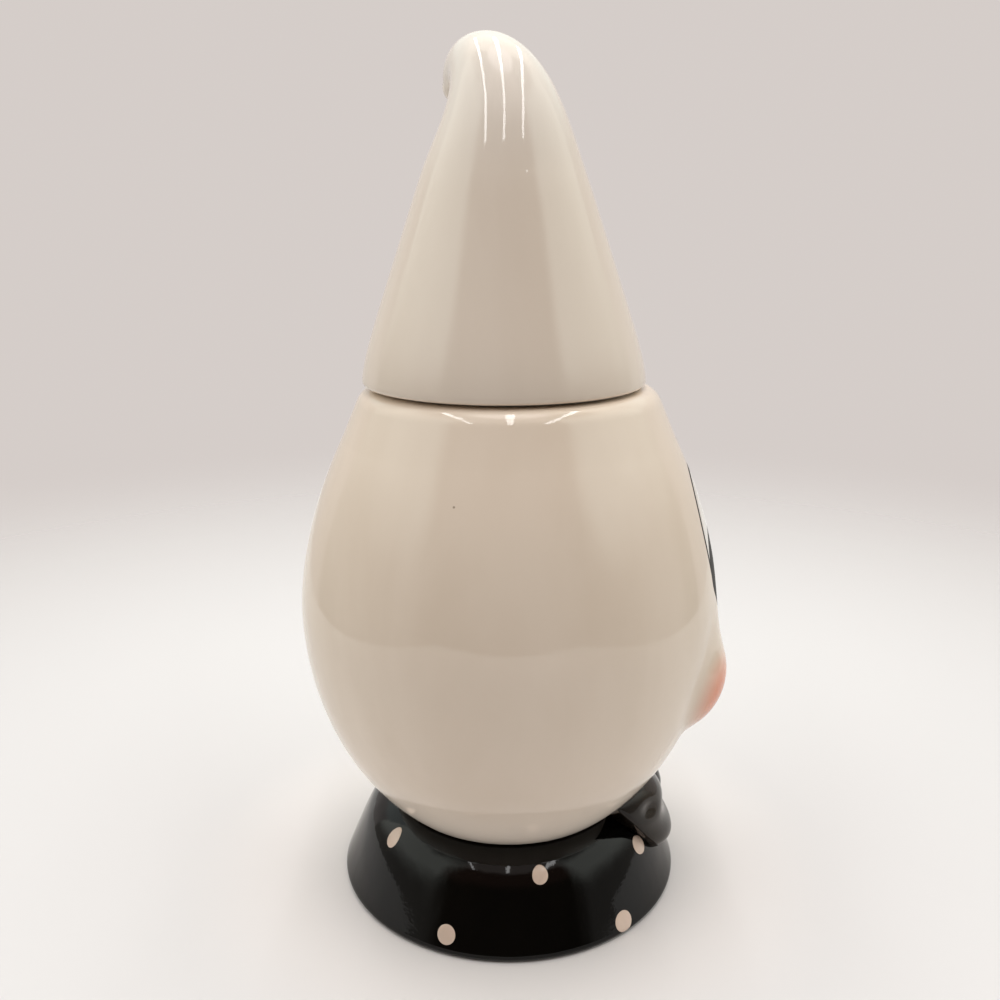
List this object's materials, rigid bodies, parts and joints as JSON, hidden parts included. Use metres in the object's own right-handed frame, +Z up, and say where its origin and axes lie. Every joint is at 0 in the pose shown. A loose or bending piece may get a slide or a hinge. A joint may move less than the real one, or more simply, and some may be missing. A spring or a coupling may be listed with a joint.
{
  "type": "ceramic canister",
  "caption": "Ghost-shaped ceramic canister: a round white jar on a black flared collar with a moulded bow, and a pointed lid with a curled tip that lifts out with its soft seal.",
  "frame": {"origin": "on the jar's axis, at the table under the foot ring", "axes": "+Z up along the jar's axis, -Y the way the face looks, +X to the figure's own left"},
  "size_m": [0.145, 0.145, 0.291],
  "materials": {
    "white_glaze": "warm white glaze, glossy, with painted face",
    "lid_glaze": "warm white glaze, glossy",
    "black_glaze": "black glaze, glossy, with white polka dots",
    "silicone": "translucent grey silicone, satin"
  },
  "bodies": {
    "jar": {"head_shell": "white_glaze", "collar_base": "black_glaze", "bow_knot": "black_glaze", "bow_loop_right": "black_glaze", "bow_loop_left": "black_glaze"},
    "seal": {"lid_seal": "silicone"},
    "lid": {"lid_shell": "lid_glaze", "lid_curl": "lid_glaze"}
  },
  "joints": [
    {"name": "lid_lift", "type": "slide", "parent": "jar", "child": "seal", "axis": [0, 0, 1], "range_m": [0, 0.15]},
    {"name": "lid_turn", "type": "hinge", "parent": "seal", "child": "lid", "pos_m": [0, 0, 0.181], "axis": [0, 0, 1], "continuous": true}
  ]
}
